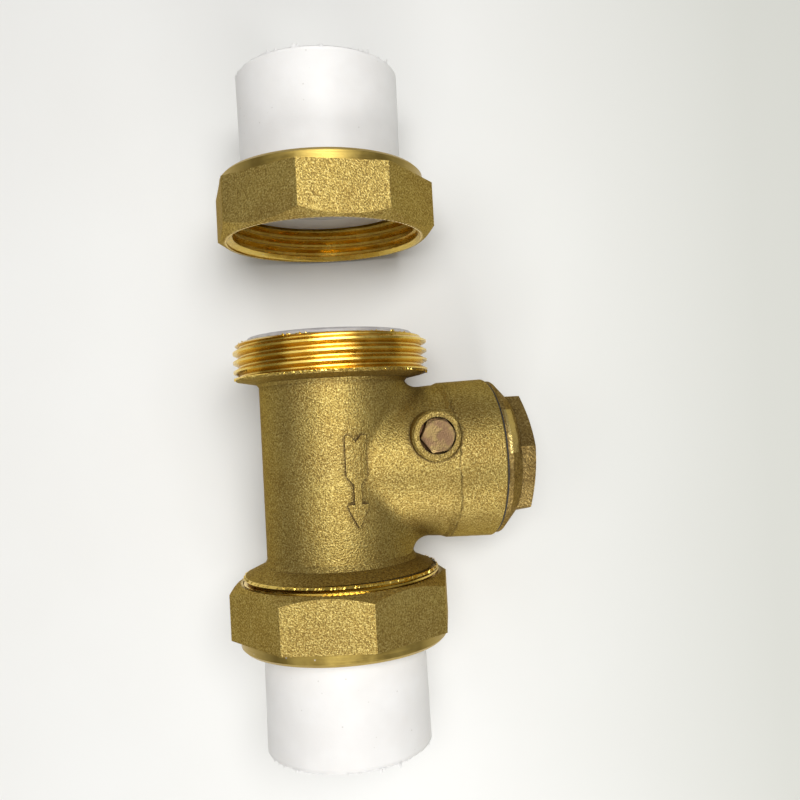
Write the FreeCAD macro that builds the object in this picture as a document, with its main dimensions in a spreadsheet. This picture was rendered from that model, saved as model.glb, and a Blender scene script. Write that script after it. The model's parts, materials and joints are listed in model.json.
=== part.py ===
"""Swing check valve with two unions: a cast brass body with a bonnet on its side, a hinged disc inside,
and a union nut with a plastic pipe socket at each end. Lengths are in millimetres.

Row frame: the pipe axis is Y and water flows towards -Y. The bonnet points along +X, the hinge pin along Z.
The origin is the centre of the outlet socket's mouth. Most pieces are drawn round the valve centre, where
the bonnet's axis meets the pipe axis. Union pieces are drawn from the body's end face, with local Z
pointing out.
"""

import os
import re

import FreeCAD
import Part
import Sketcher

Vector = FreeCAD.Vector
Rotation = FreeCAD.Rotation

# Driving dimensions: name -> millimetres, or degrees where the name ends in _angle.
DIMENSIONS = {
    # run of the body
    "inlet_arm": 31.0,
    "outlet_arm": 34.0,
    "tube_radius": 18.0,
    "chamber_radius": 15.0,
    "port_radius": 12.5,
    "seat_radius": 9.5,
    "seat_lip": 1.2,
    "seat_y": 8.0,
    "seat_web": 3.0,
    # G 1 1/2 union thread
    "union_pitch": 2.309,
    "union_thread_radius": 23.9,
    "union_thread_depth": 1.48,
    "union_thread_length": 8.4,
    "thread_gap": 0.2,
    # bonnet
    "bonnet_reach": 38.0,
    "neck_root_radius": 17.5,
    "neck_radius": 19.0,
    "collar_radius": 19.9,
    "collar_start": 25.2,
    "bonnet_bore": 16.2,
    "bonnet_bore_start": 15.8,
    "cap_pitch": 1.5,
    "cap_thread_radius": 17.3,
    "cap_thread_depth": 0.92,
    "cap_thread_start": 27.4,
    "body_blend": 4.0,
    # hinge pin, its bosses and its plug
    "pin_x": 21.5,
    "pin_y": 6.5,
    "pin_radius": 1.5,
    "pin_clearance": 0.05,
    "pin_low": -18.0,
    "pin_top": 14.0,
    "boss_radius": 6.0,
    "boss_top": 19.8,
    "rear_boss_radius": 5.4,
    "rear_boss_top": 20.2,
    "inner_boss_radius": 4.4,
    "inner_boss_face": 11.3,
    "plug_recess_radius": 4.35,
    "plug_recess_floor": 17.7,
    "plug_pitch": 1.0,
    "plug_thread_radius": 2.95,
    "plug_thread_depth": 0.55,
    "plug_hole_floor": 14.2,
    "plug_head_flats": 7.3,
    "plug_head_angle": 36.0,
    "plug_head_height": 3.0,
    "plug_washer": 0.6,
    # flow arrow
    "arrow_x": 2.6,
    "arrow_top": 7.6,
    "arrow_length": 21.0,
    "arrow_width": 4.9,
    "arrow_relief": 0.8,
    # union nut, gasket and socket, from the body's end face
    "nut_flats": 51.0,
    "nut_mouth": 7.3,
    "nut_shoulder": 5.3,
    "nut_end": 8.2,
    "nut_lip": 2.4,
    "nut_ring_radius": 25.1,
    "nut_chamfer_slope": 0.7,
    "nut_corner_blend": 0.5,
    "inlet_nut_angle": 5.0,
    "outlet_nut_angle": 14.6,
    "gasket_radius": 20.6,
    "gasket_thickness": 1.2,
    "face_gap": 0.05,
    "flange_radius": 22.0,
    "flange_thickness": 4.35,
    "socket_outer": 20.0,
    "socket_draft": 0.3,
    "socket_bore": 15.8,
    "socket_depth": 18.0,
    "socket_end": 33.2,
    "tail_bore": 12.0,
    "inlet_turns_open": 14.0,
    # bonnet cap and its gasket, from the bonnet's rim
    "cap_skirt": 8.0,
    "cap_gasket": 0.4,
    "cap_flange_radius": 19.3,
    "cap_flats": 28.0,
    "cap_head_angle": 21.0,
    "cap_end": 9.0,
    "cap_corner_blend": 0.8,
    "cap_hollow_radius": 13.2,
    # disc and hinge arm
    "disc_radius": 12.0,
    "disc_gap": 0.05,
    "seal_thickness": 2.35,
    "seal_radius": 10.9,
    "stud_radius": 2.5,
    "stud_end": -4.1,
    "arm_thickness": 2.2,
    "arm_top": 3.7,
    "arm_width": 8.0,
    "sleeve_radius": 3.2,
}

doc = FreeCAD.newDocument("swing_check_valve")
sheet = doc.addObject("Spreadsheet::Sheet", "Size")
for row, (alias, number) in enumerate(DIMENSIONS.items(), start=1):
    sheet.set(f"A{row}", alias.replace("_", " "))
    sheet.set(f"B{row}", str(number))
    sheet.setAlias(f"B{row}", alias)
doc.recompute()


def bind(text):
    """An expression in the sheet's names, as FreeCAD reads it."""
    return re.sub(r"[a-z][a-z_]*", lambda m: "Size." + m[0] if m[0] in DIMENSIONS else m[0], text)


def number(text):
    """The present value of an expression in the sheet's names."""
    value = sheet.evalExpression(bind(text))
    return float(getattr(value, "Value", value))


def new_body(label):
    body = doc.addObject("PartDesign::Body", "Body_" + label)
    body.Label = label
    return body


def place(piece, rotation=None, x="0", y="0", z="0"):
    """Puts a piece in the row frame: x, y and z are measured from the valve centre."""
    if rotation is not None:
        piece.Placement = FreeCAD.Placement(Vector(0, 0, 0), rotation)
    centre_y = "outlet_arm + socket_end"
    for axis, text in (("x", x), ("y", f"{centre_y} + {y}"), ("z", z)):
        piece.setExpression(f"Placement.Base.{axis}", bind(text))
    return piece


def new_sketch(body, name, plane, offset=None):
    """A sketch on one of the body's own origin planes, shifted in that plane's axes by offset."""
    sketch = body.newObject("Sketcher::SketchObject", name)
    support = [f for f in body.Origin.OriginFeatures if f.Role == plane][0]
    sketch.AttachmentSupport = [(support, "")]
    sketch.MapMode = "FlatFace"
    for axis, text in zip("xyz", offset or ()):
        sketch.setExpression(f"AttachmentOffset.Base.{axis}", bind(text))
    return sketch


def outline(body, name, plane, points, offset=None):
    """A closed sketch of straight lines through points, each coordinate bound to the sheet."""
    sketch = new_sketch(body, name, plane, offset)
    places = [Vector(number(x), number(y), 0) for x, y in points]
    for i, start in enumerate(places):
        sketch.addGeometry(Part.LineSegment(start, places[(i + 1) % len(places)]), False)
    for i, (x, y) in enumerate(points):
        sketch.addConstraint(Sketcher.Constraint("Coincident", i, 2, (i + 1) % len(points), 1))
        for kind, text, value in (("DistanceX", x, places[i].x), ("DistanceY", y, places[i].y)):
            index = sketch.addConstraint(Sketcher.Constraint(kind, -1, 1, i, 1, value))
            sketch.setExpression(f"Constraints[{index}]", bind(text))
    return sketch


def circle(body, name, plane, radius, offset=None):
    sketch = new_sketch(body, name, plane, offset)
    sketch.addGeometry(Part.Circle(Vector(0, 0, 0), Vector(0, 0, 1), number(radius)), False)
    sketch.addConstraint(Sketcher.Constraint("Coincident", 0, 3, -1, 1))
    index = sketch.addConstraint(Sketcher.Constraint("Radius", 0, number(radius)))
    sketch.setExpression(f"Constraints[{index}]", bind(radius))
    return sketch


def polygon(body, name, plane, sides, flats, angle="0", offset=None):
    """A regular polygon given across its flats, with the middle of one flat at angle degrees."""
    points = []
    for i in range(sides):
        turn = f"({angle} + {(i + 0.5) * 360 / sides})"
        reach = f"{flats} / 2 / cos({180 / sides})"
        points.append((f"{reach} * cos({turn})", f"{reach} * sin({turn})"))
    return outline(body, name, plane, points, offset)


def turn(body, kind, sketch, axis="V_Axis"):
    """Revolves a sketch a full turn about its own axis: a Revolution adds and a Groove cuts."""
    before = body.Shape.Volume if kind == "Groove" else 0
    feature = body.newObject("PartDesign::" + kind, kind + "_" + sketch.Name)
    feature.Profile = sketch
    feature.ReferenceAxis = (sketch, [axis])
    feature.Angle = 360
    doc.recompute()
    if kind == "Groove" and feature.Shape.Volume > before - 1e-3:
        raise SystemExit(f"{sketch.Name} cuts nothing")
    return feature


def extrude(body, kind, sketch, length, reverse=False, middle=False):
    """Pads or pockets a sketch: kind is Pad or Pocket."""
    before = body.Shape.Volume if kind == "Pocket" else 0
    feature = body.newObject("PartDesign::" + kind, kind + "_" + sketch.Name)
    feature.Profile = sketch
    feature.Reversed = reverse
    feature.Midplane = middle
    feature.setExpression("Length", bind(length))
    doc.recompute()
    if kind == "Pocket" and feature.Shape.Volume > before - 1e-3:
        raise SystemExit(f"{sketch.Name} cuts nothing")
    return feature


def round_corners(body, sides, flats, radius):
    """Rounds the upright edges of a prism that was padded from a regular polygon."""
    tip = body.Tip
    reach = number(f"{flats} / 2 / cos({180 / sides})")
    names = []
    for i, edge in enumerate(tip.Shape.Edges):
        start, end = edge.firstVertex().Point, edge.lastVertex().Point
        upright = abs(start.x - end.x) < 1e-6 and abs(start.y - end.y) < 1e-6
        if upright and abs((start.x**2 + start.y**2) ** 0.5 - reach) < 1e-3:
            names.append(f"Edge{i + 1}")
    if len(names) != sides:
        raise SystemExit(f"{body.Label} has {len(names)} corners to round, not {sides}")
    fillet = body.newObject("PartDesign::Fillet", "round_corners_" + body.Label)
    fillet.Base = (tip, names)
    fillet.setExpression("Radius", bind(radius))
    doc.recompute()
    return fillet


def cut_thread(body, name, plane, axis, root, mouth, along, pitch, turns, half_flat, offset=None):
    """Cuts a right-hand V thread with 55 degree flanks. root is the radius at the V's tip and mouth the
    radius where it opens; along is where the first V is centred, measured on the axis."""
    slope = 0.5206  # tangent of half the flank angle
    half_mouth = f"({half_flat} + {slope} * abs({mouth} - ({root})))"
    corners = [
        (root, f"{along} - {half_flat}"),
        (mouth, f"{along} - {half_mouth}"),
        (mouth, f"{along} + {half_mouth}"),
        (root, f"{along} + {half_flat}"),
    ]
    if axis == "H_Axis":
        corners = [(a, r) for r, a in corners]
    vee = outline(body, name, plane, corners, offset)
    helix = body.newObject("PartDesign::SubtractiveHelix", "Helix_" + name)
    helix.Profile = vee
    helix.ReferenceAxis = (vee, [axis])
    helix.Mode = 0
    helix.setExpression("Pitch", bind(pitch))
    helix.setExpression("Height", bind(f"{pitch} * {turns}"))
    helix.LeftHanded = False
    before = body.Shape.Volume
    doc.recompute()
    if helix.Shape.Volume > before - 1e-3:
        raise SystemExit(f"{name} cuts nothing")
    return helix


# ---------------------------------------------------------------- valve body


def body_casting():
    """The tube with its two union ends, and the bonnet neck with its collar."""
    body = new_body("valve_body")
    cone_end = "union_thread_radius - 0.6"
    inlet_thread = "inlet_arm - union_thread_length"
    outlet_thread = "-outlet_arm + union_thread_length"
    run = outline(
        body,
        "run",
        "XY_Plane",
        [
            ("0", "-outlet_arm"),
            ("union_thread_radius - union_thread_depth", "-outlet_arm"),
            ("union_thread_radius", "-outlet_arm + 0.9"),
            ("union_thread_radius", outlet_thread),
            (cone_end, f"{outlet_thread} + 0.6"),
            ("tube_radius + 0.7", f"{outlet_thread} + 2.7"),
            ("tube_radius", f"{outlet_thread} + 4"),
            ("tube_radius", f"{inlet_thread} - 2.4"),
            ("tube_radius + 0.6", f"{inlet_thread} - 1.6"),
            (cone_end, f"{inlet_thread} - 0.7"),
            ("union_thread_radius", inlet_thread),
            ("union_thread_radius", "inlet_arm - 0.9"),
            ("union_thread_radius - union_thread_depth", "inlet_arm"),
            ("0", "inlet_arm"),
        ],
    )
    turn(body, "Revolution", run)
    neck = outline(
        body,
        "neck",
        "XY_Plane",
        [
            ("0", "0"),
            ("0", "neck_root_radius"),
            ("4", "neck_root_radius"),
            ("collar_start", "neck_radius"),
            ("collar_start + 1.3", "collar_radius - 0.4"),
            ("bonnet_reach - 0.3", "collar_radius"),
            ("bonnet_reach", "collar_radius - 0.3"),
            ("bonnet_reach", "0"),
        ],
    )
    turn(body, "Revolution", neck, "H_Axis")
    return body


def is_saddle(edge):
    """True for the curved edges where the neck meets the tube."""
    box = edge.BoundBox
    curved = edge.Curve.TypeId not in ("Part::GeomLine", "Part::GeomCircle")
    return curved and box.XMin > 1 and box.XMax < number("collar_start") and box.ZLength > 6


def blend_neck(body):
    tip = body.Tip
    names = [f"Edge{i + 1}" for i, edge in enumerate(tip.Shape.Edges) if is_saddle(edge)]
    fillet = body.newObject("PartDesign::Fillet", "neck_blend")
    fillet.Base = (tip, names)
    fillet.setExpression("Radius", bind("body_blend"))
    doc.recompute()
    return fillet


def pin_profile(body, kind, name, points):
    """Turns a profile of (radius, z) about the hinge pin's axis."""
    offset = ("pin_x", "0", "-pin_y")
    return turn(body, kind, outline(body, name, "XZ_Plane", points, offset))


def outer_bosses(body):
    """The two bosses on the bonnet that the hinge pin runs into."""
    front = [
        ("0", "9"),
        ("boss_radius", "9"),
        ("boss_radius", "boss_top - 0.5"),
        ("boss_radius - 0.5", "boss_top"),
        ("0", "boss_top"),
    ]
    pin_profile(body, "Revolution", "front_boss", front)
    rear = [
        ("0", "-9"),
        ("rear_boss_radius", "-9"),
        ("rear_boss_radius", "-rear_boss_top + 0.8"),
        ("rear_boss_radius - 0.8", "-rear_boss_top"),
        ("0", "-rear_boss_top"),
    ]
    pin_profile(body, "Revolution", "rear_boss", rear)


def hollow_run(body):
    """The water way along the pipe axis, with the raised seat on its web."""
    web_low = "seat_y + 1"
    web_top = "seat_y + seat_web"
    way = outline(
        body,
        "water_way",
        "XY_Plane",
        [
            ("0", "-outlet_arm - 1"),
            ("port_radius + 1", "-outlet_arm - 1"),
            ("port_radius + 1", "-outlet_arm + 5"),
            ("chamber_radius", "-outlet_arm + 6.5"),
            ("chamber_radius", web_low),
            ("seat_radius + seat_lip + 0.3", web_low),
            ("seat_radius + seat_lip", "seat_y"),
            ("seat_radius", "seat_y"),
            ("seat_radius", web_top),
            ("port_radius", f"{web_top} + 2"),
            ("port_radius", "inlet_arm + 1"),
            ("0", "inlet_arm + 1"),
        ],
    )
    turn(body, "Groove", way)


def hollow_bonnet(body):
    """The bonnet's bore, and the room it shares with the run below the seat."""
    bore = outline(
        body,
        "bonnet_bore",
        "XY_Plane",
        [
            ("bonnet_bore_start", "0"),
            ("bonnet_bore_start", "bonnet_bore"),
            ("cap_thread_start - 0.8", "bonnet_bore"),
            ("cap_thread_start - 0.8", "cap_thread_radius + thread_gap + 0.1"),
            ("cap_thread_start + 0.8", "cap_thread_radius + thread_gap + 0.1"),
            ("cap_thread_start + 0.8", "cap_thread_radius - cap_thread_depth + thread_gap"),
            ("bonnet_reach + 1", "cap_thread_radius - cap_thread_depth + thread_gap"),
            ("bonnet_reach + 1", "0"),
        ],
    )
    turn(body, "Groove", bore, "H_Axis")
    room = new_sketch(body, "swing_room", "YZ_Plane")
    reach, top = number("bonnet_bore"), number("seat_y + 1")
    corner = (reach**2 - top**2) ** 0.5
    arc = Part.Arc(Vector(top, corner, 0), Vector(-reach, 0, 0), Vector(top, -corner, 0))
    room.addGeometry(arc, False)
    room.addGeometry(Part.LineSegment(Vector(top, -corner, 0), Vector(top, corner, 0)), False)
    for arc_end, line_end in ((1, 2), (2, 1)):
        room.addConstraint(Sketcher.Constraint("Coincident", 0, arc_end, 1, line_end))
    room.addConstraint(Sketcher.Constraint("Coincident", 0, 3, -1, 1))
    room.addConstraint(Sketcher.Constraint("Vertical", 1))
    for kind, where, text in (("Radius", (0,), "bonnet_bore"), ("DistanceX", (-1, 1, 1, 1), "seat_y + 1")):
        index = room.addConstraint(Sketcher.Constraint(kind, *where, number(text)))
        room.setExpression(f"Constraints[{index}]", bind(text))
    extrude(body, "Pocket", room, "bonnet_bore_start + 0.01", reverse=True)


def pin_seats(body):
    """The bosses inside the bonnet, the pin's bore, and the tapped and recessed hole for its plug."""
    radius, face = "inner_boss_radius", "inner_boss_face"
    for name, sign in (("front_inner_boss", ""), ("rear_inner_boss", "-")):
        low, high = f"{sign}{face}", f"{sign}15.6"
        points = [("0", low), (radius, low), (radius, high), ("0", high)]
        pin_profile(body, "Revolution", name, points)
    hole = "plug_thread_radius - plug_thread_depth + 0.12"
    relief = "plug_thread_radius + 0.2"
    bore = "pin_radius + pin_clearance"
    points = [
        ("0", "pin_low - 0.3"),
        (bore, "pin_low - 0.3"),
        (bore, "plug_hole_floor"),
        (relief, "plug_hole_floor"),
        (relief, "plug_hole_floor + 1.2"),
        (hole, "plug_hole_floor + 1.2"),
        (hole, "plug_recess_floor"),
        ("plug_recess_radius", "plug_recess_floor"),
        ("plug_recess_radius", "boss_top + 1"),
        ("0", "boss_top + 1"),
    ]
    pin_profile(body, "Groove", "pin_bore", points)


def body_threads(body):
    """The two male union threads, and the tapped holes for the cap and the pin's plug."""
    root = "union_thread_radius - union_thread_depth"
    mouth = "union_thread_radius + 0.3"
    common = ("XY_Plane", "V_Axis", root, mouth)
    cut_thread(body, "outlet_thread", *common, "-outlet_arm - union_pitch", "union_pitch", 6, "0.15")
    cut_thread(body, "inlet_thread", *common, "inlet_arm - 5 * union_pitch", "union_pitch", 6, "0.15")
    tip = "cap_thread_radius + thread_gap"
    open_at = "cap_thread_radius - cap_thread_depth - 0.1"
    cut_thread(
        body, "bonnet_thread", "XY_Plane", "H_Axis", tip, open_at, "cap_thread_start", "cap_pitch", 8, "0.2"
    )
    cut_thread(
        body,
        "plug_hole_thread",
        "XZ_Plane",
        "V_Axis",
        "plug_thread_radius + 0.12",
        "plug_thread_radius - plug_thread_depth - 0.1",
        "plug_hole_floor + 0.6",
        "plug_pitch",
        4,
        "0.14",
        offset=("pin_x", "0", "-pin_y"),
    )


def flow_arrow():
    """The raised arrow on the tube: a notched tail, a shaft and a head, its top following the tube."""
    middle, top, half = number("arrow_x"), number("arrow_top"), number("arrow_width / 2")
    length, shaft = number("arrow_length"), number("arrow_width / 6")
    right_side = [
        (0.0, -0.075),
        (0.55 * half, 0.0),
        (half, 0.0),
        (half, -0.44),
        (shaft, -0.53),
        (shaft, -0.745),
        (half, -0.745),
        (half * 0.9, -0.79),
        (0.0, -1.0),
    ]
    left_side = [(-x, y) for x, y in reversed(right_side[1:-1])]
    corners = [Vector(middle + x, top + y * length, 0) for x, y in right_side + left_side]
    wire = Part.makePolygon(corners + corners[:1])
    prism = Part.Face(wire).extrude(Vector(0, 0, 30))
    low = Vector(0, top - length - 5, 0)
    skin = Part.makeCylinder(number("tube_radius + arrow_relief"), length + 10, low, Vector(0, 1, 0))
    core = Part.makeCylinder(number("tube_radius - 1.5"), length + 10, low, Vector(0, 1, 0))
    arrow = doc.addObject("Part::Feature", "flow_arrow_relief")
    arrow.Shape = prism.common(skin).cut(core)
    return arrow


def valve_body():
    body = body_casting()
    blend_neck(body)
    outer_bosses(body)
    hollow_run(body)
    hollow_bonnet(body)
    pin_seats(body)
    body_threads(body)
    whole = doc.addObject("Part::Fuse", "valve_body_with_arrow")
    whole.Base = body
    whole.Tool = flow_arrow()
    body.Label = "valve_body_machined"
    whole.Label = "valve_body"
    return place(whole)


# ---------------------------------------------------------------- unions


def union_placement(end, out):
    """Rotation, and the y of the body's end face plus out millimetres outwards, for the union at one end."""
    if end == "inlet":
        return Rotation(Vector(1, 0, 0), -90), f"inlet_arm + {out}"
    return Rotation(Vector(1, 0, 0), 90), f"-outlet_arm - ({out})"


def union_nut(end, out):
    body = new_body("union_nut_" + end)
    offset = ("0", "0", "-nut_mouth")
    prism = polygon(body, "octagon_" + end, "XY_Plane", 8, "nut_flats", f"{end}_nut_angle", offset)
    extrude(body, "Pad", prism, "nut_mouth + nut_shoulder")
    round_corners(body, 8, "nut_flats", "nut_corner_blend")
    ring = [
        ("nut_ring_radius - 3", "nut_shoulder - 1"),
        ("nut_ring_radius", "nut_shoulder - 1"),
        ("nut_ring_radius", "nut_end - 0.7"),
        ("nut_ring_radius - 0.7", "nut_end"),
        ("nut_ring_radius - 3", "nut_end"),
    ]
    turn(body, "Revolution", outline(body, "turned_ring_" + end, "XZ_Plane", ring))
    rim = "nut_flats / 2 - 0.7"
    chamfer = [
        (rim, "-nut_mouth - 1"),
        (rim, "-nut_mouth"),
        (f"{rim} + 4", "-nut_mouth + 4 * nut_chamfer_slope"),
        (f"{rim} + 4", "-nut_mouth - 1"),
    ]
    turn(body, "Groove", outline(body, "mouth_chamfer_" + end, "XZ_Plane", chamfer))
    minor = "union_thread_radius - union_thread_depth + thread_gap"
    relief = "union_thread_radius + thread_gap + 0.1"
    lip_face = "nut_end - nut_lip"
    bore = [
        ("0", "-nut_mouth - 1"),
        ("union_thread_radius + thread_gap", "-nut_mouth - 1"),
        ("union_thread_radius + thread_gap", "-nut_mouth"),
        (minor, "-nut_mouth + 1.4"),
        (minor, "0.9"),
        (relief, "1.4"),
        (relief, lip_face),
        ("socket_outer + 0.5", lip_face),
        ("socket_outer + 0.5", "nut_end + 1"),
        ("0", "nut_end + 1"),
    ]
    turn(body, "Groove", outline(body, "nut_bore_" + end, "XZ_Plane", bore))
    cut_thread(
        body,
        "nut_thread_" + end,
        "XZ_Plane",
        "V_Axis",
        "union_thread_radius + thread_gap",
        "union_thread_radius - union_thread_depth",
        "-4.5 * union_pitch",
        "union_pitch",
        5,
        "0.3",
    )
    rotation, y = union_placement(end, out)
    return place(body, rotation, y=y)


def tailpiece(end, out):
    """The pipe socket: a flange that the nut holds, and a plain sleeve that the pipe is fused into."""
    body = new_body("tailpiece_" + end)
    face = "gasket_thickness + face_gap"
    back = f"{face} + flange_thickness"
    socket_floor = "socket_end - socket_depth"
    points = [
        ("tail_bore", face),
        ("flange_radius - 0.4", face),
        ("flange_radius", f"{face} + 0.4"),
        ("flange_radius", f"{back} - 0.3"),
        ("flange_radius - 0.3", back),
        ("socket_outer - socket_draft", back),
        ("socket_outer", "socket_end - 0.35"),
        ("socket_outer - 0.35", "socket_end"),
        ("socket_bore", "socket_end"),
        ("socket_bore", socket_floor),
        ("socket_bore - 1.2", socket_floor),
        ("tail_bore", f"{socket_floor} - 2.6"),
    ]
    turn(body, "Revolution", outline(body, "socket_profile_" + end, "XZ_Plane", points))
    rotation, y = union_placement(end, out)
    return place(body, rotation, y=y)


def union_gasket(end):
    body = new_body("union_gasket_" + end)
    points = [
        ("port_radius + 1", "0"),
        ("gasket_radius", "0"),
        ("gasket_radius", "gasket_thickness - 0.5"),
        ("gasket_radius - 0.5", "gasket_thickness"),
        ("port_radius + 1.3", "gasket_thickness"),
        ("port_radius + 1", "gasket_thickness - 0.3"),
    ]
    turn(body, "Revolution", outline(body, "gasket_profile_" + end, "XZ_Plane", points))
    rotation, y = union_placement(end, "0")
    return place(body, rotation, y=y)


# ---------------------------------------------------------------- bonnet cap


def bonnet_cap():
    body = new_body("bonnet_cap")
    shell = [
        ("0", "-1"),
        ("0", "cap_gasket + 4.6"),
        ("cap_flange_radius - 3.6", "cap_gasket + 4.6"),
        ("cap_flange_radius", "cap_gasket + 1.2"),
        ("cap_flange_radius", "cap_gasket"),
        ("cap_thread_radius - cap_thread_depth - 0.1", "cap_gasket"),
        ("cap_thread_radius - cap_thread_depth - 0.1", "-1.4"),
        ("cap_thread_radius", "-2.2"),
        ("cap_thread_radius", "-cap_skirt + 0.7"),
        ("cap_thread_radius - 0.7", "-cap_skirt"),
        ("cap_hollow_radius", "-cap_skirt"),
        ("cap_hollow_radius", "-1"),
    ]
    turn(body, "Revolution", outline(body, "cap_shell", "XZ_Plane", shell))
    offset = ("0", "0", "cap_gasket + 1.3")
    head = polygon(body, "cap_hexagon", "XY_Plane", 6, "cap_flats", "cap_head_angle", offset)
    extrude(body, "Pad", head, "cap_end - cap_gasket - 1.3")
    round_corners(body, 6, "cap_flats", "cap_corner_blend")
    corner = "cap_flats / 2"
    chamfer = [
        (f"{corner} - 0.2", "cap_end"),
        (f"{corner} + 3", "cap_end - 0.8"),
        (f"{corner} + 3", "cap_end + 1"),
        (f"{corner} - 0.2", "cap_end + 1"),
    ]
    turn(body, "Groove", outline(body, "head_chamfer", "XZ_Plane", chamfer))
    hollow = [
        ("0", "-2"),
        ("cap_hollow_radius - 1.5", "-2"),
        ("cap_hollow_radius - 2.5", "cap_end - 3.2"),
        ("0", "cap_end - 2.6"),
    ]
    turn(body, "Groove", outline(body, "cap_hollow", "XZ_Plane", hollow))
    cut_thread(
        body,
        "cap_thread",
        "YZ_Plane",
        "V_Axis",
        "cap_thread_radius - cap_thread_depth",
        "cap_thread_radius + 0.2",
        "cap_thread_start - bonnet_reach + 0.5 * cap_pitch",
        "cap_pitch",
        6,
        "0.2",
    )
    return place(body, Rotation(Vector(0, 1, 0), 90), x="bonnet_reach")


def bonnet_gasket():
    body = new_body("bonnet_gasket")
    inner, outer = "cap_thread_radius + 0.3", "cap_flange_radius + 0.15"
    points = [(inner, "0"), (outer, "0"), (outer, "cap_gasket"), (inner, "cap_gasket")]
    turn(body, "Revolution", outline(body, "bonnet_gasket_profile", "XZ_Plane", points))
    return place(body, Rotation(Vector(0, 1, 0), 90), x="bonnet_reach")


# ---------------------------------------------------------------- hinge pin and its plug


def hinge_pin():
    body = new_body("hinge_pin")
    points = [
        ("0", "pin_low"),
        ("pin_radius - 0.3", "pin_low"),
        ("pin_radius", "pin_low + 0.3"),
        ("pin_radius", "pin_top - 0.3"),
        ("pin_radius - 0.3", "pin_top"),
        ("0", "pin_top"),
    ]
    turn(body, "Revolution", outline(body, "pin_profile", "XZ_Plane", points))
    return place(body, x="pin_x", y="pin_y")


def pin_plug():
    body = new_body("pin_plug")
    shank = [
        ("0", "-3.2"),
        ("plug_thread_radius - 0.4", "-3.2"),
        ("plug_thread_radius", "-2.8"),
        ("plug_thread_radius", "-1"),
        ("plug_thread_radius - plug_thread_depth - 0.05", "-0.5"),
        ("plug_thread_radius - plug_thread_depth - 0.05", "plug_washer + 0.5"),
        ("0", "plug_washer + 0.5"),
    ]
    turn(body, "Revolution", outline(body, "plug_shank", "XZ_Plane", shank))
    offset = ("0", "0", "plug_washer")
    head = polygon(body, "plug_hexagon", "XY_Plane", 6, "plug_head_flats", "plug_head_angle", offset)
    extrude(body, "Pad", head, "plug_head_height")
    corner = "plug_head_flats / 2"
    top = "plug_washer + plug_head_height"
    chamfer = [
        (f"{corner} - 0.1", top),
        (f"{corner} + 1", f"{top} - 0.55"),
        (f"{corner} + 1", f"{top} + 1"),
        (f"{corner} - 0.1", f"{top} + 1"),
    ]
    turn(body, "Groove", outline(body, "plug_chamfer", "XZ_Plane", chamfer))
    cut_thread(
        body,
        "plug_thread",
        "XZ_Plane",
        "V_Axis",
        "plug_thread_radius - plug_thread_depth",
        "plug_thread_radius + 0.1",
        "plug_hole_floor + 0.6 - plug_recess_floor - 1.5 * plug_pitch",
        "plug_pitch",
        4,
        "0.12",
    )
    return place(body, x="pin_x", y="pin_y", z="plug_recess_floor")


def pin_plug_washer():
    body = new_body("pin_plug_washer")
    inner, outer = "plug_thread_radius + 0.2", "plug_recess_radius - 0.35"
    points = [(inner, "0"), (outer, "0"), (outer, "plug_washer"), (inner, "plug_washer")]
    turn(body, "Revolution", outline(body, "plug_washer_profile", "XZ_Plane", points))
    return place(body, x="pin_x", y="pin_y", z="plug_recess_floor")


# ---------------------------------------------------------------- clapper: hinge arm and disc

SEAL_FRONT = "seat_y - disc_gap"
SEAL_BACK = "seat_y - disc_gap - seal_thickness"
DISC_BACK = "seat_y - disc_gap - seal_thickness - 1.4"


def hinge_arm():
    """The arm that carries the disc: a sleeve round the pin, a cranked bar, and an eye round the stud."""
    body = new_body("hinge_arm")
    low = "arm_top - arm_thickness"
    eye = circle(body, "arm_eye", "XZ_Plane", "stud_radius + 3.2", offset=("0", "0", "-arm_top"))
    extrude(body, "Pad", eye, "arm_thickness")
    bar = [
        ("3.4", low),
        ("3.4", "arm_top"),
        ("13.4", "arm_top"),
        ("pin_x - 1.2", "pin_y + 2.5"),
        ("pin_x + 2", "pin_y - 2.2"),
        ("15.8", low),
    ]
    extrude(body, "Pad", outline(body, "arm_bar", "XY_Plane", bar), "arm_width", middle=True)
    sleeve = circle(body, "arm_sleeve", "XY_Plane", "sleeve_radius", offset=("pin_x", "pin_y", "0"))
    extrude(body, "Pad", sleeve, "2 * inner_boss_face - 0.8", middle=True)
    above_arm = ("0", "0", "-arm_top - 1")
    stud_hole = circle(body, "arm_stud_hole", "XZ_Plane", "stud_radius + 0.15", above_arm)
    extrude(body, "Pocket", stud_hole, "arm_thickness + 2", reverse=True)
    on_pin = ("pin_x", "pin_y", "0")
    pin_hole = circle(body, "arm_pin_hole", "XY_Plane", "pin_radius + pin_clearance", on_pin)
    extrude(body, "Pocket", pin_hole, "2 * inner_boss_face", middle=True)
    return place(body)


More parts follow.
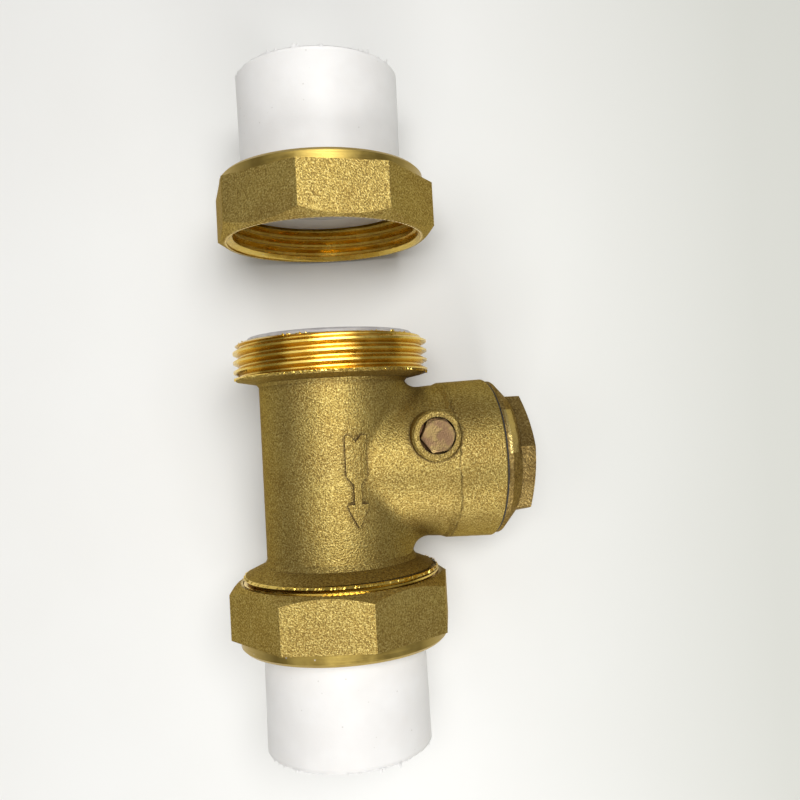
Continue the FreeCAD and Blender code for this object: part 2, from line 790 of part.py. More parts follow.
def disc_holder():
    """The disc: a dish for the seal in front, and the stud behind that the arm carries."""
    body = new_body("disc_holder")
    points = [
        ("1.6", "0.6"),
        ("1.6", SEAL_BACK),
        ("seal_radius + 0.1", SEAL_BACK),
        ("seal_radius + 0.1", f"{SEAL_FRONT} - 0.55"),
        ("disc_radius - 0.3", f"{SEAL_FRONT} - 0.55"),
        ("disc_radius", f"{SEAL_FRONT} - 0.85"),
        ("disc_radius", f"{DISC_BACK} + 0.7"),
        ("disc_radius - 0.7", DISC_BACK),
        ("stud_radius + 2", DISC_BACK),
        ("stud_radius + 2", "arm_top + 0.2"),
        ("stud_radius", "arm_top + 0.2"),
        ("stud_radius", "stud_end + 0.5"),
        ("stud_radius - 0.5", "stud_end"),
        ("0", "stud_end"),
        ("0", "0.6"),
    ]
    turn(body, "Revolution", outline(body, "disc_profile", "XY_Plane", points))
    cross_hole = circle(body, "split_pin_hole", "XY_Plane", "0.6", offset=("0", "stud_end + 0.95", "0"))
    extrude(body, "Pocket", cross_hole, "4 * stud_radius", middle=True)
    return place(body)


def disc_ring(label, inner, outer, low, high, edge="0.15"):
    """A flat ring on the disc's axis, between the heights low and high, with its outer edges broken."""
    body = new_body(label)
    points = [
        (inner, low),
        (f"{outer} - {edge}", low),
        (outer, f"{low} + {edge}"),
        (outer, f"{high} - {edge}"),
        (f"{outer} - {edge}", high),
        (inner, high),
    ]
    turn(body, "Revolution", outline(body, label + "_profile", "XY_Plane", points))
    return place(body)


def seal_screw():
    body = new_body("seal_screw")
    head = f"{SEAL_FRONT} + 0.8"
    points = [
        ("0", "1"),
        ("1.2", "1"),
        ("1.5", "1.3"),
        ("1.5", head),
        ("3", head),
        ("3", f"{head} + 1.2"),
        ("2.2", f"{head} + 1.9"),
        ("0", f"{head} + 1.9"),
    ]
    turn(body, "Revolution", outline(body, "seal_screw_profile", "XY_Plane", points))
    slot = [("-0.4", f"{head} + 1"), ("0.4", f"{head} + 1"), ("0.4", f"{head} + 3"), ("-0.4", f"{head} + 3")]
    extrude(body, "Pocket", outline(body, "screw_slot", "XY_Plane", slot), "8", middle=True)
    return place(body)


def hanger_nut():
    body = new_body("hanger_nut")
    top = "arm_top - arm_thickness - 0.95"
    offset = ("0", "0", f"-({top})")
    extrude(body, "Pad", polygon(body, "nut_hexagon", "XZ_Plane", 6, "8", "0", offset), "3")
    above_nut = ("0", "0", f"-({top}) - 1")
    hole = circle(body, "hanger_nut_hole", "XZ_Plane", "stud_radius + 0.02", above_nut)
    extrude(body, "Pocket", hole, "6", reverse=True)
    return place(body)


def split_pin():
    """The split pin through the stud behind the hanger nut: an eye, a shank, and two spread legs."""
    wire, reach = 0.5, number("stud_radius")
    height = number("stud_end + 0.95")
    shank = Part.makeCylinder(wire, 2 * reach + 1.2, Vector(0, height, -reach - 0.6), Vector(0, 0, 1))
    eye_at = Vector(0, height, -reach - 1.35)
    eye = Part.makeTorus(0.8, wire * 0.8, eye_at, Vector(0, 1, 0))
    pieces = [eye]
    for side in (-1, 1):
        leg_start = Vector(0, height, reach + 0.5)
        leg = Part.makeCylinder(wire * 0.85, 1.7, leg_start, Vector(side * 1.0, 0, 0.55))
        pieces.append(leg)
    piece = doc.addObject("Part::Feature", "split_pin_solid")
    piece.Shape = shank.multiFuse(pieces).removeSplitter()
    piece.Label = "split_pin"
    return place(piece)


# ---------------------------------------------------------------- build and write

INLET_OUT = "union_pitch * inlet_turns_open"


def build():
    return [
        valve_body(),
        union_gasket("inlet"),
        union_gasket("outlet"),
        union_nut("inlet", INLET_OUT),
        union_nut("outlet", "0"),
        tailpiece("inlet", INLET_OUT),
        tailpiece("outlet", "0"),
        bonnet_gasket(),
        bonnet_cap(),
        hinge_pin(),
        pin_plug_washer(),
        pin_plug(),
        hinge_arm(),
        disc_holder(),
        disc_ring("disc_seal", "1.7", "seal_radius", SEAL_BACK, SEAL_FRONT),
        disc_ring("seal_washer", "1.7", "6", SEAL_FRONT, f"{SEAL_FRONT} + 0.8"),
        seal_screw(),
        disc_ring(
            "hanger_washer",
            "stud_radius + 0.1",
            "stud_radius + 2.6",
            "arm_top - arm_thickness - 0.9",
            "arm_top - arm_thickness - 0.2",
        ),
        hanger_nut(),
        split_pin(),
    ]


def write(pieces):
    """Checks every object and every piece, then writes one STEP file a piece."""
    for thing in doc.Objects:
        if {"Invalid", "Error"} & set(thing.State):
            raise SystemExit(f"{thing.Label} failed: {thing.State}")
    for piece in pieces:
        shape = piece.Shape
        if shape.isNull() or not shape.isValid() or not shape.Solids:
            raise SystemExit(f"{piece.Label} has no valid solid")
    os.makedirs("parts", exist_ok=True)
    for piece in pieces:
        piece.Shape.exportStep(os.path.join("parts", piece.Label + ".step"))
        box = piece.Shape.BoundBox
        print(f"{piece.Label:22s} {len(piece.Shape.Solids)} solid, {piece.Shape.Volume:9.1f} mm3, {box}")


parts = build()
doc.recompute()
write(parts)
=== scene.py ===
"""Looks for a brass swing check valve: materials, burrs, camera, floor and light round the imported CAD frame.

Everything is in metres in the valve's own frame: the pipe axis is Y with the inlet at +Y, the bonnet points
along +X, and +Z is along the hinge pin towards its plug.
"""

import bpy
import json
import math
import random

from mathutils import Matrix, Vector


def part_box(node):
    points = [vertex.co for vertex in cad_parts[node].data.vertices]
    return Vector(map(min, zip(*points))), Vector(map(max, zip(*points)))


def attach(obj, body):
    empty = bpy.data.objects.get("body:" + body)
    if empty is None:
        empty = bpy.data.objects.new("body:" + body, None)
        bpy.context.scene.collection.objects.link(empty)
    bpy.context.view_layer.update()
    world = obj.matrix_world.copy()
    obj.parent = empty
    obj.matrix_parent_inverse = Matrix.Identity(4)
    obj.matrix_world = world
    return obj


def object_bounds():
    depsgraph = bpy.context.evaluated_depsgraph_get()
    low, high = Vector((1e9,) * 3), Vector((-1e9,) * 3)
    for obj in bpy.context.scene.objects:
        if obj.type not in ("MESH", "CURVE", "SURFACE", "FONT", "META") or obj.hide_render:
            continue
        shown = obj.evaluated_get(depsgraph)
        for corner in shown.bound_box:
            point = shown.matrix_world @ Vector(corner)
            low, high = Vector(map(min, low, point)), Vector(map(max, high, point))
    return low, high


MM = 0.001

# ---------------------------------------------------------------- frame

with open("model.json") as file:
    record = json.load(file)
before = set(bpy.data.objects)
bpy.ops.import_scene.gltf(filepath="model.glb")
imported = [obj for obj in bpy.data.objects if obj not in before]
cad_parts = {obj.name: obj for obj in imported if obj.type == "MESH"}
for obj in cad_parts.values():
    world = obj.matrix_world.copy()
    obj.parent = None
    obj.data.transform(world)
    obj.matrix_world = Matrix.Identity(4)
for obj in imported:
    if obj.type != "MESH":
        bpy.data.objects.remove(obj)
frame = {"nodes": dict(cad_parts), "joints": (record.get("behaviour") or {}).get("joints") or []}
nodes = frame["nodes"]
cad_low, cad_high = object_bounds()
body_low, body_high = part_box("valve_body")
MIDDLE = (cad_low + cad_high) / 2
cap_joint = next(joint for joint in frame["joints"] if joint["name"] == "cap_turn")
CENTRE = Vector(cap_joint["pos_m"])  # where the bonnet's axis crosses the pipe axis


# ---------------------------------------------------------------- shader building


def colour(red, green, blue):
    return (red, green, blue, 1.0)


class Shader:
    """A material's node graph, built by calls that each return the output socket to plug in next."""

    def __init__(self, name):
        self.material = bpy.data.materials.new(name)
        self.material.use_nodes = True
        self.tree = self.material.node_tree
        self.tree.nodes.clear()
        output = self.tree.nodes.new("ShaderNodeOutputMaterial")
        self.surface = self.tree.nodes.new("ShaderNodeBsdfPrincipled")
        self.tree.links.new(self.surface.outputs[0], output.inputs["Surface"])
        self.place = self.tree.nodes.new("ShaderNodeTexCoord").outputs["Object"]

    def link(self, source, socket):
        """Plugs in an output socket, or sets a plain value."""
        if isinstance(source, bpy.types.NodeSocket):
            self.tree.links.new(source, socket)
        else:
            socket.default_value = source

    def set(self, **inputs):
        """Sets or links the surface shader's inputs: Base_Color stands for Base Color."""
        for name, source in inputs.items():
            self.link(source, self.surface.inputs[name.replace("_", " ")])

    def math(self, operation, a, b=0.0):
        node = self.tree.nodes.new("ShaderNodeMath")
        node.operation = operation
        self.link(a, node.inputs[0])
        self.link(b, node.inputs[1])
        return node.outputs[0]

    def noise(self, feature, detail=2.0, roughness=0.5):
        """Noise whose features are about this many metres across."""
        node = self.tree.nodes.new("ShaderNodeTexNoise")
        self.link(self.place, node.inputs["Vector"])
        node.inputs["Scale"].default_value = 1 / feature
        node.inputs["Detail"].default_value = detail
        node.inputs["Roughness"].default_value = roughness
        return node.outputs["Fac"]

    def tool_lines(self, per_metre):
        """Noise with this many features to the metre along X, Y and Z, for the marks of a cutting tool."""
        stretch = self.tree.nodes.new("ShaderNodeVectorMath")
        stretch.operation = "MULTIPLY"
        self.link(self.place, stretch.inputs[0])
        self.link(per_metre, stretch.inputs[1])
        lines = self.noise(1.0, 2.0, 0.6)
        self.link(stretch.outputs[0], lines.node.inputs["Vector"])
        return lines

    def wobble(self, feature, detail, width):
        """Noise centred on 0 and this many metres wide, to make an edge ragged."""
        return self.math("MULTIPLY", self.math("SUBTRACT", self.noise(feature, detail), 0.5), width)

    def cells(self, feature):
        """Distance to the nearest of a scatter of points about this many metres apart, in cell widths."""
        node = self.tree.nodes.new("ShaderNodeTexVoronoi")
        self.link(self.place, node.inputs["Vector"])
        node.inputs["Scale"].default_value = 1 / feature
        return node.outputs["Distance"]

    def axis(self, letter):
        """One of the object's own coordinates, in metres."""
        node = self.tree.nodes.new("ShaderNodeSeparateXYZ")
        self.link(self.place, node.inputs[0])
        return node.outputs[letter]

    def occlusion(self, distance):
        """1 where the surface is open to the air, less where other surfaces stand within this distance."""
        node = self.tree.nodes.new("ShaderNodeAmbientOcclusion")
        node.samples = 8
        node.inputs["Distance"].default_value = distance
        return node.outputs["AO"]

    def ramp(self, factor, low, high, to_low=0.0, to_high=1.0):
        """Maps factor from low..high to to_low..to_high, held at both ends."""
        node = self.tree.nodes.new("ShaderNodeMapRange")
        node.clamp = True
        self.link(factor, node.inputs["Value"])
        for name, value in (("From Min", low), ("From Max", high), ("To Min", to_low), ("To Max", to_high)):
            node.inputs[name].default_value = value
        return node.outputs["Result"]

    def mix(self, factor, a, b):
        """Colour a where factor is 0, and b where it is 1."""
        node = self.tree.nodes.new("ShaderNodeMix")
        node.data_type = "RGBA"
        colours = [socket for socket in node.inputs if socket.type == "RGBA"]
        self.link(factor, node.inputs["Factor"])
        self.link(a, colours[0])
        self.link(b, colours[1])
        return next(socket for socket in node.outputs if socket.type == "RGBA")

    def coat(self, base, mask, share, tint):
        """Covers this share of base with tint where mask is 1, and none of it where mask is 0."""
        return self.mix(self.math("MULTIPLY", mask, share), base, tint)

    def bump(self, height, distance, normal=None):
        """Bump whose height of 1 stands this many metres proud, on top of the bump in normal."""
        node = self.tree.nodes.new("ShaderNodeBump")
        node.inputs["Distance"].default_value = distance
        self.link(height, node.inputs["Height"])
        if normal is not None:
            self.link(normal, node.inputs["Normal"])
        return node.outputs["Normal"]


# ---------------------------------------------------------------- materials

BRASS_GLANCE = colour(0.45, 0.36, 0.22)  # the cast brass's tint at a glancing angle
CREASE_DEPTH = 1.2  # in heights of the cast grain
SPECK_TINT = colour(0.95, 0.93, 0.85)


def blasted(s, base, grain, pit, peak, peak_share):
    """A blasted casting's grain: the base colour with dark pits and bright peaks."""
    base = s.coat(base, s.ramp(grain, 0.36, 0.5, 1.0, 0.0), 0.6, pit)
    return s.coat(base, s.ramp(grain, 0.52, 0.66), peak_share, peak)


def finish_cast(s, base, rough, height, distance, swell):
    """Sets a cast surface: height stands distance proud, over a slow swell of the casting."""
    slow = s.bump(s.noise(2.6 * MM, 2.0), swell)
    normal = s.bump(height, distance, slow)
    s.set(Base_Color=base, Metallic=0.9, Roughness=rough, Specular_Tint=BRASS_GLANCE, Normal=normal)
    return s.material


def crease_line(s, crease):
    """1 on a wobbly line round the bonnet at x = crease, fainter in places, and 0 elsewhere."""
    at = s.math("ADD", s.axis("X"), s.wobble(3.5 * MM, 3.0, 3 * MM))
    away = s.math("ABSOLUTE", s.math("SUBTRACT", at, crease))
    line = s.ramp(away, 0.05 * MM, 0.55 * MM, 1.0, 0.0)
    return s.math("MULTIPLY", line, s.ramp(s.noise(4 * MM, 2.0), 0.35, 0.65, 0.3, 0.75))


def cast_brass(name, tone=1.0, crease=None):
    """Sand-cast and blasted brass: olive peaks over brown pits, with dirt and painted shade where the surface
    is hollow.

    tone scales its brightness; crease is the x of a wrinkled line left round the bonnet by the mould, darkened
    with painted shade."""
    s = Shader(name)
    grain = s.noise(0.38 * MM, 2.0, 0.55)
    patches = s.noise(9 * MM, 3.0, 0.55)
    stain = s.ramp(s.noise(19 * MM, 3.0, 0.6), 0.45, 0.68)
    base = s.mix(s.ramp(patches, 0.35, 0.66), colour(0.44, 0.305, 0.078), colour(0.50, 0.365, 0.10))
    base = s.coat(base, stain, 0.35, colour(0.27, 0.165, 0.05))
    base = blasted(s, base, grain, colour(0.14, 0.08, 0.022), colour(0.84, 0.69, 0.27), 0.5)
    # Dirt and painted shade: darker where the occlusion finds other surfaces near, in hollows and along
    # corners such as round the arrow.
    hollow = s.ramp(s.occlusion(2.5 * MM), 0.45, 0.92, 0.8, 0.0)
    corner = s.ramp(s.occlusion(0.9 * MM), 0.6, 0.95, 0.85, 0.0)
    dirt_and_shade = s.math("MAXIMUM", hollow, corner)
    height = grain
    if crease is not None:
        line = crease_line(s, crease)
        # Painted shade along the crease line, with a dent in the bump.
        dirt_and_shade = s.math("MAXIMUM", dirt_and_shade, s.math("MULTIPLY", line, 0.7))
        height = s.math("SUBTRACT", grain, s.math("MULTIPLY", line, CREASE_DEPTH))
    base = s.mix(dirt_and_shade, base, colour(0.09, 0.055, 0.025))
    base = s.mix(1.0 - tone, base, colour(0.0, 0.0, 0.0))
    return finish_cast(s, base, s.ramp(grain, 0.3, 0.7, 0.55, 0.40), height, 0.16 * MM, 0.1 * MM)


def inside_box(s, low, high, ragged):
    """1 between the corners low and high, 0 outside, with ragged added to the place so the edges wander."""
    inside = 1.0
    for letter, low_edge, high_edge in zip("XYZ", low, high):
        at = s.math("ADD", s.axis(letter), ragged)
        for edge, sign in ((low_edge, 1), (high_edge, -1)):
            past = s.math("MULTIPLY", s.math("SUBTRACT", at, edge), sign)
            inside = s.math("MULTIPLY", inside, s.ramp(past, 0.0, 0.15 * MM))
    return inside


def cap_brass_with_highlight(low, high):
    """The cap's cast brass, with one bright patch on the flange between the corners low and high: smoother
    there, and a painted highlight.
    """
    s = Shader("cast_brass_cap")
    grain = s.noise(0.5 * MM, 2.0, 0.6)
    patches = s.noise(6 * MM, 3.0, 0.6)
    base = s.mix(s.ramp(patches, 0.35, 0.66), colour(0.24, 0.155, 0.045), colour(0.36, 0.245, 0.075))
    base = blasted(s, base, grain, colour(0.11, 0.07, 0.028), colour(0.66, 0.50, 0.22), 0.4)
    # Dirt and painted shade in the hollows, from the occlusion.
    dirt_and_shade = s.ramp(s.occlusion(2.0 * MM), 0.45, 0.92, 0.85, 0.0)
    base = s.mix(dirt_and_shade, base, colour(0.08, 0.05, 0.022))
    # A painted highlight: the patch is coloured bright brass and made smoother, where the light glints off the
    # machined flange.
    highlight_patch = inside_box(s, low, high, s.wobble(1.2 * MM, 2.0, 0.7 * MM))
    base = s.coat(base, highlight_patch, 0.85, colour(0.72, 0.55, 0.20))
    rough = s.math("SUBTRACT", s.ramp(grain, 0.3, 0.7, 0.55, 0.40), s.math("MULTIPLY", highlight_patch, 0.16))
    return finish_cast(s, base, rough, grain, 0.12 * MM, 0.14 * MM)


def turned_brass(name, axis, light=(0.92, 0.69, 0.18), dark=(0.80, 0.55, 0.10), smoothest=0.14, root=0.55):
    """Machined brass: yellow, with fine tool lines round the axis it was turned on, and browner in its roots,
    from tarnish and painted shade.

    axis is 0 or 1 for X or Y, smoothest the least roughness, and root how brown the roots are, with their
    tarnish and painted shade."""
    s = Shader(name)
    per_metre = [80.0, 80.0, 80.0]
    per_metre[axis] = 4000.0
    lines = s.tool_lines(per_metre)
    smudge = s.noise(5 * MM, 3.0, 0.6)
    base = s.mix(s.ramp(smudge, 0.35, 0.7), colour(*dark), colour(*light))
    specks = s.ramp(s.cells(1.7 * MM), 0.1, 0.16, 1.0, 0.0)
    specks = s.math("MULTIPLY", specks, s.ramp(s.noise(3 * MM, 2.0), 0.6, 0.66))
    base = s.coat(base, specks, 0.8, SPECK_TINT)
    # Tarnish and painted shade in the roots, from the occlusion.
    dirt_and_shade = s.ramp(s.occlusion(1.6 * MM), 0.2, 0.8, root, 0.0)
    base = s.mix(dirt_and_shade, base, colour(0.42, 0.22, 0.025))
    rough = s.ramp(lines, 0.3, 0.7, smoothest, smoothest + 0.16)
    rough = s.math("ADD", rough, s.ramp(smudge, 0.4, 0.7, 0.0, 0.14))
    s.set(Base_Color=base, Metallic=1.0, Roughness=rough, Normal=s.bump(lines, 0.02 * MM))
    return s.material


def red_brass():
    """The dull coppery brass of the hinge pin's plug, with a yellow smudge."""
    s = Shader("red_brass")
    smudge = s.noise(2.2 * MM, 3.0, 0.6)
    grain = s.noise(0.35 * MM, 2.0)
    base = s.mix(s.ramp(smudge, 0.42, 0.62), colour(0.21, 0.125, 0.065), colour(0.28, 0.195, 0.075))
    # Dirt and painted shade in the hollows, from the occlusion.
    dirt_and_shade = s.ramp(s.occlusion(1.5 * MM), 0.4, 0.9, 0.8, 0.0)
    base = s.mix(dirt_and_shade, base, colour(0.09, 0.045, 0.02))
    height = s.math("ADD", grain, s.math("MULTIPLY", smudge, 1.5))
    s.set(
        Base_Color=base,
        Metallic=0.9,
        Roughness=s.ramp(smudge, 0.3, 0.7, 0.5, 0.36),
        Normal=s.bump(height, 0.06 * MM),
    )
    return s.material


def white_plastic(name, mouth):
    """Polypropylene pipe socket: satin white, slightly translucent, and rough where it was sawn, at mouth."""
    s = Shader(name)
    haze = s.noise(14 * MM, 3.0, 0.6)
    fine = s.noise(0.5 * MM, 2.0)
    base = s.mix(s.ramp(haze, 0.35, 0.7), colour(0.80, 0.785, 0.765), colour(0.86, 0.85, 0.835))
    base = s.coat(base, s.ramp(s.cells(3.1 * MM), 0.03, 0.07, 1.0, 0.0), 0.5, colour(0.45, 0.42, 0.36))
    from_mouth = s.math("ABSOLUTE", s.math("SUBTRACT", s.axis("Y"), mouth))
    sawn = s.ramp(from_mouth, 0.3 * MM, 0.9 * MM, 1.0, 0.0)
    sawn = s.math("MULTIPLY", sawn, s.noise(0.9 * MM, 3.0, 0.7))
    height = s.math("ADD", s.math("MULTIPLY", haze, 3.0), fine)
    height = s.math("ADD", height, s.math("MULTIPLY", sawn, 14.0))
    s.set(
        Base_Color=base,
        Roughness=s.ramp(fine, 0.3, 0.7, 0.38, 0.52),
        Subsurface_Weight=0.35,
        Subsurface_Radius=(1.0, 0.95, 0.9),
        Subsurface_Scale=1.6 * MM,
        Normal=s.bump(height, 0.02 * MM),
    )
    return s.material


def silicone():
    """Translucent lilac-grey gasket rubber."""
    s = Shader("silicone")
    cloud = s.noise(3 * MM, 3.0, 0.6)
    base = s.mix(s.ramp(cloud, 0.35, 0.7), colour(0.40, 0.385, 0.39), colour(0.56, 0.545, 0.545))
    s.set(
        Base_Color=base,
        Roughness=s.ramp(cloud, 0.3, 0.7, 0.35, 0.5),
        Subsurface_Weight=0.5,
        Subsurface_Radius=(0.9, 0.95, 1.0),
        Subsurface_Scale=1.5 * MM,
        Normal=s.bump(s.noise(0.7 * MM, 2.0), 0.04 * MM),
    )
    return s.material


def black_rubber():
    """Matte black rubber with some dust on it."""
    s = Shader("black_rubber")
    dust = s.noise(0.8 * MM, 3.0, 0.65)
    base = s.mix(s.ramp(dust, 0.45, 0.75), colour(0.012, 0.011, 0.010), colour(0.05, 0.045, 0.04))
    s.set(Base_Color=base, Roughness=s.ramp(dust, 0.3, 0.7, 0.55, 0.8), Normal=s.bump(dust, 0.04 * MM))
    return s.material


def stainless_steel():
    """Turned steel, with its tool lines across Z."""
    s = Shader("stainless_steel")
    lines = s.tool_lines((300.0, 300.0, 3500.0))
    smudge = s.noise(2 * MM, 2.0)
    base = s.mix(s.ramp(smudge, 0.35, 0.7), colour(0.50, 0.49, 0.47), colour(0.64, 0.63, 0.61))
    s.set(
        Base_Color=base,
        Metallic=1.0,
        Roughness=s.ramp(lines, 0.3, 0.7, 0.2, 0.36),
        Normal=s.bump(lines, 0.01 * MM),
    )
    return s.material


CREASE_X = 26.9 * MM
# Corners of the painted highlight patch on the cap's flange.
HIGHLIGHT_LOW = CENTRE + Vector((38.9, 1.4, 5.0)) * MM
HIGHLIGHT_HIGH = CENTRE + Vector((41.9, 11.8, 21.0)) * MM

CAST = cast_brass("cast_brass")
CAST_BODY = cast_brass("cast_brass_body", 0.86, CREASE_X)
CAST_CAP = cap_brass_with_highlight(HIGHLIGHT_LOW, HIGHLIGHT_HIGH)
TURNED_RUN = turned_brass("turned_brass_run", 1)
TURNED_BONNET = turned_brass("turned_brass_bonnet", 0)
TURNED_NUT = turned_brass("turned_brass_nut", 1, root=0.2)
TURNED_RING = turned_brass("turned_brass_ring", 1, (0.56, 0.41, 0.11), (0.42, 0.29, 0.07), 0.3, 0.5)
PLUG = red_brass()
SILICONE = silicone()
RUBBER = black_rubber()
STEEL = stainless_steel()
PLASTIC = {
    "inlet": white_plastic("white_plastic_inlet", cad_high.y),
    "outlet": white_plastic("white_plastic_outlet", cad_low.y),
}


# ---------------------------------------------------------------- which face gets which material

THREAD_LENGTH = 8.5 * MM
THREAD_ROOT = 22.2 * MM
END_FACE_DEPTH = 0.3 * MM
WATERWAY_RADIUS = 15.6 * MM
NECK_OPENING_X = 14 * MM
BONNET_BORE_START = 26 * MM
BONNET_BORE_RADIUS = 17.8 * MM
AXIS_RADIUS = 0.1 * MM  # a face whose centre is nearer its axis than this spans it, so it isn't a bore's wall
NUT_BORE_RADIUS = 24.5 * MM
NUT_RING_RADIUS = 25.2 * MM
NUT_RING_DEPTH = 2.85 * MM
CAP_HOLLOW_RADIUS = 10 * MM


def dress(name, base, *patches):
    """Gives a CAD node its base material, and each patch's material to the faces that its test picks."""
    mesh = nodes[name].data
    mesh.materials.clear()
    mesh.materials.append(base)
    for material, _ in patches:
        mesh.materials.append(material)
    for face in mesh.polygons:
        picked = 0
        for index, (_, test) in enumerate(patches, start=1):
            if test(face.center, face.normal):
                picked = index
        face.material_index = picked


def run_radius(point):
    """Distance from the pipe axis."""
    return math.hypot(point.x, point.z)


def bonnet_radius(point):
    """Distance from the bonnet's axis."""
    return math.hypot(point.y - CENTRE.y, point.z)


def from_body_end(point):
    """Distance along the pipe from the body's nearer end face."""
    return min(point.y - body_low.y, body_high.y - point.y)


def on_union_thread(point, normal):
    return run_radius(point) > THREAD_ROOT and from_body_end(point) < THREAD_LENGTH


def on_end_face(point, normal):
    return from_body_end(point) < END_FACE_DEPTH and abs(normal.y) > 0.9


def in_waterway(point, normal):
    """Bored and seat surfaces: they face the pipe axis, inside the tube."""
    inward = normal.x * point.x + normal.z * point.z < 0
    return inward and run_radius(point) < WATERWAY_RADIUS and point.x < NECK_OPENING_X


def in_bonnet_bore(point, normal):
    return point.x > BONNET_BORE_START and AXIS_RADIUS < bonnet_radius(point) < BONNET_BORE_RADIUS


def dress_body():
    """Cast outside; turned threads, end faces, waterway and bonnet bore."""
    dress(
        "valve_body",
        CAST_BODY,
        (TURNED_RUN, on_union_thread),
        (TURNED_RUN, on_end_face),
        (TURNED_RUN, in_waterway),
        (TURNED_BONNET, in_bonnet_bore),
    )


def dress_nut(name, lip):
    """Cast outside; turned thread, and the turned ring behind the octagon, whose lip is at y = lip."""

    def in_bore(point, normal):
        return run_radius(point) < NUT_BORE_RADIUS

    def on_ring(point, normal):
        return abs(point.y - lip) < NUT_RING_DEPTH and run_radius(point) < NUT_RING_RADIUS

    dress(name, CAST, (TURNED_NUT, in_bore), (TURNED_RING, on_ring))


def dress_cap():
    """Cast outside; turned skirt and hollow."""
    skirt_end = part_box("bonnet_gasket")[1].x - 0.05 * MM

    def inside(point, normal):
        return point.x < skirt_end or bonnet_radius(point) < CAP_HOLLOW_RADIUS and normal.x < 0

    dress("bonnet_cap", CAST_CAP, (TURNED_BONNET, inside))


dress_body()
dress_nut("union_nut_inlet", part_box("union_nut_inlet")[1].y)
dress_nut("union_nut_outlet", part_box("union_nut_outlet")[0].y)
dress_cap()
for end, material in PLASTIC.items():
    dress("tailpiece_" + end, material)
for material, names in (
    (SILICONE, ("union_gasket_inlet", "union_gasket_outlet")),
    (RUBBER, ("bonnet_gasket", "disc_seal")),
    (STEEL, ("hinge_pin", "seal_screw", "seal_washer", "hanger_washer", "split_pin")),
    (PLUG, ("pin_plug", "pin_plug_washer")),
    (TURNED_RUN, ("hinge_arm", "disc_holder", "hanger_nut")),
):
    for name in names:
        dress(name, material)


# ---------------------------------------------------------------- burrs left by the saw and the lathe

SOCKET_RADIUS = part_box("tailpiece_outlet")[1].x - 2 * MM
THREAD_RADIUS = 23.9 * MM
RIM_RADIUS = THREAD_RADIUS - 1.48 * MM
SHOULDER_DEPTH = 8.4 * MM  # from the body's end face to the flange behind its thread

# Sections of the lips: each point is (outwards, beyond) the edge in millimetres, and tip is where the longest
# burr ends. steps is how many burrs fit round the edge, and a higher rarity leaves fewer of them long.
SAWN = {"side": (-0.02, -0.4), "face": (-0.6, -0.02), "tip": (0.2, 0.75), "steps": 330, "rarity": 3.5}
FLANGE = {"side": (-0.03, 0.0), "face": (-0.55, 0.55), "tip": (0.08, 0.75), "steps": 540, "rarity": 5}
RIM = {"side": (-0.05, -0.1), "face": (-0.45, -0.02), "tip": (0.1, 0.45), "steps": 540, "rarity": 5}


def burr_heights(steps, rarity, seed):
    """How far each burr reaches towards the tip, from 0 to 1: a few are long, in six or so stretches."""
    dice = random.Random(seed)
    torn = [dice.random() ** rarity for _ in range(steps)]
    worn = [0.35 + 0.65 * math.sin(3.1 * math.tau * i / steps + seed) ** 2 for i in range(steps)]
    return [min(1.0, torn[i] * worn[i] + 0.3 * torn[i - 1]) for i in range(steps)]


def burrs(name, lip, radius, y, away, seed):
    """A ragged lip round the edge at this radius and y, as one closed ring with a three-cornered section.

    away is 1 or -1, for the direction of Y that the lip's points count as beyond the edge."""
    side, face, tip = (
        (radius + out * MM, y + beyond * MM * away) for out, beyond in (lip["side"], lip["face"], lip["tip"])
    )
    root = ((side[0] + face[0]) / 2, (side[1] + face[1]) / 2)
    steps = lip["steps"]
    points = []
    for i, height in enumerate(burr_heights(steps, lip["rarity"], seed)):
        end = (root[0] + (tip[0] - root[0]) * height, root[1] + (tip[1] - root[1]) * height)
        turn = math.tau * i / steps
        for out, along in (side, end, face):
            points.append((out * math.sin(turn), along, out * math.cos(turn)))
    faces = []
    for i in range(steps):
        here, there = 3 * i, 3 * ((i + 1) % steps)
        for a, b in ((0, 1), (1, 2), (2, 0)):
            faces.append((here + a, here + b, there + b, there + a))
    mesh = bpy.data.meshes.new(name)
    mesh.from_pydata(points, [], faces)
    ring = bpy.data.objects.new(name, mesh)
    bpy.context.scene.collection.objects.link(ring)
    return ring


def sawn_burrs(end, mouth, away, seed):
    """Torn plastic round a pipe socket's sawn mouth."""
    ring = burrs("sawn_burrs_" + end, SAWN, SOCKET_RADIUS, mouth, away, seed)
    ring.data.materials.append(PLASTIC[end])
    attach(ring, end + "_tailpiece")


def brass_burrs(name, lip, radius, y, away, seed):
    """Torn brass round an edge of the body."""
    ring = burrs(name, lip, radius, y, away, seed)
    ring.data.materials.append(TURNED_RUN)
    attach(ring, "body")


sawn_burrs("inlet", cad_high.y, 1, 12)
sawn_burrs("outlet", cad_low.y, -1, 10)
brass_burrs("flange_burrs_inlet", FLANGE, THREAD_RADIUS, body_high.y - SHOULDER_DEPTH, -1, 22)
brass_burrs("flange_burrs_outlet", FLANGE, THREAD_RADIUS, body_low.y + SHOULDER_DEPTH, 1, 24)
brass_burrs("rim_burrs", RIM, RIM_RADIUS, body_high.y, 1, 31)


# ---------------------------------------------------------------- camera

CAMERA_DISTANCE = 198.6 * MM
CAMERA_SHIFT = Vector((-15.8, -16.4)) * MM  # where the valve's centre lies from the camera's axis
LEAN = math.radians(3.1)  # the pipe axis leans left at its top
PITCH = math.radians(1.5)  # the outlet end is a little nearer
ROLL = math.radians(11.0)  # the bonnet tips away
FILM_WIDTH = 36  # millimetres, and the lens has the same focal length


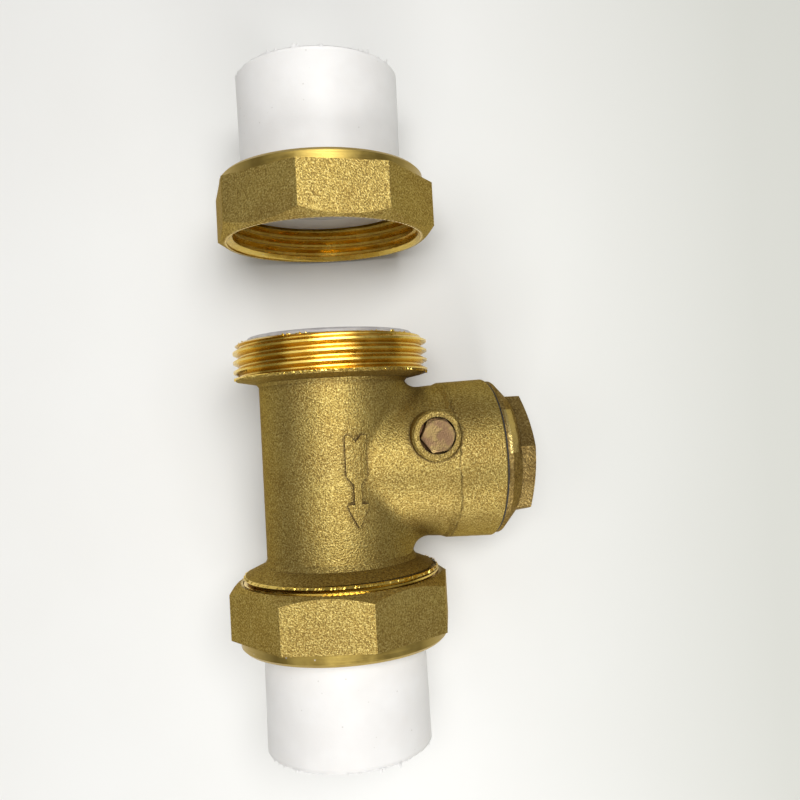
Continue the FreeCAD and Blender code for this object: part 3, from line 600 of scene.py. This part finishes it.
def add_camera():
    """Looks down -Z at the valve, turned by its lean, pitch and roll in the view."""
    valve_to_camera = (
        Matrix.Rotation(LEAN, 3, "Z") @ Matrix.Rotation(-PITCH, 3, "X") @ Matrix.Rotation(ROLL, 3, "Y")
    )
    camera_to_valve = valve_to_camera.transposed()
    centre_in_view = Vector((CAMERA_SHIFT.x, CAMERA_SHIFT.y, -CAMERA_DISTANCE))
    place = CENTRE - camera_to_valve @ centre_in_view
    camera = bpy.data.objects.new("camera", bpy.data.cameras.new("camera"))
    bpy.context.scene.collection.objects.link(camera)
    camera.data.lens = FILM_WIDTH
    camera.data.sensor_width = FILM_WIDTH
    camera.data.clip_start = 0.01
    camera.data.clip_end = 10
    camera.matrix_world = Matrix.Translation(place) @ camera_to_valve.to_4x4()
    bpy.context.scene.camera = camera


add_camera()


# ---------------------------------------------------------------- floor, light and background

FLOOR_ROLL = math.radians(10.2)  # the valve lies on its nuts and the bonnet's collar
FLOOR_DROP = 26.4 * MM  # from the pipe axis to the table top
FLOOR_HALF = 0.6
BACKGROUND_STRENGTH = 0.2


def add_floor():
    """A pale table top under the valve, tilted as the valve lies on it, and darker towards +X as painted
    shade.
    """
    s = Shader("floor")
    haze = s.noise(60 * MM, 3.0)
    base = s.mix(s.ramp(haze, 0.3, 0.7), colour(0.80, 0.795, 0.77), colour(0.82, 0.82, 0.80))
    # Painted shade: the table darkens towards +X.
    base = s.mix(s.ramp(s.axis("X"), 0.03, 0.12), base, colour(0.64, 0.645, 0.60))
    s.set(Base_Color=base, Roughness=0.55, Normal=s.bump(s.noise(1.5 * MM, 3.0), 0.01 * MM))
    mesh = bpy.data.meshes.new("floor")
    corners = [(x * FLOOR_HALF, y * FLOOR_HALF, 0) for x, y in ((-1, -1), (1, -1), (1, 1), (-1, 1))]
    mesh.from_pydata(corners, [], [(0, 1, 2, 3)])
    mesh.materials.append(s.material)
    top = bpy.data.objects.new("floor", mesh)
    bpy.context.scene.collection.objects.link(top)
    tilt = Matrix.Rotation(-FLOOR_ROLL, 4, "Y")
    down = tilt @ Vector((0, 0, -FLOOR_DROP))
    top.matrix_world = Matrix.Translation(Vector((0, MIDDLE.y, 0)) + down) @ tilt


def add_light(name, size, power, offset):
    """A soft rectangular lamp of this size in metres and power in watts, aimed at the valve's middle."""
    data = bpy.data.lights.new(name, "AREA")
    data.shape = "RECTANGLE"
    data.size, data.size_y = size
    data.energy = power
    lamp = bpy.data.objects.new(name, data)
    bpy.context.scene.collection.objects.link(lamp)
    lamp.location = MIDDLE + Vector(offset)
    lamp.rotation_euler = (MIDDLE - lamp.location).to_track_quat("-Z", "Y").to_euler()


def add_background():
    """A dim, slightly warm surrounding."""
    background = bpy.data.worlds.new("studio")
    background.use_nodes = True
    bpy.context.scene.world = background
    shade = background.node_tree.nodes["Background"]
    shade.inputs["Color"].default_value = colour(1.0, 0.985, 0.95)
    shade.inputs["Strength"].default_value = BACKGROUND_STRENGTH


add_floor()
add_background()
add_light("overhead", (0.45, 0.25), 3.1, (-0.05, 0.12, 0.62))
add_light("side", (0.3, 0.3), 0.35, (-0.45, -0.05, 0.45))
add_light("low_front", (0.3, 0.12), 1.6, (0.0, -0.5, 0.3))
bpy.context.scene.view_settings.view_transform = "Standard"
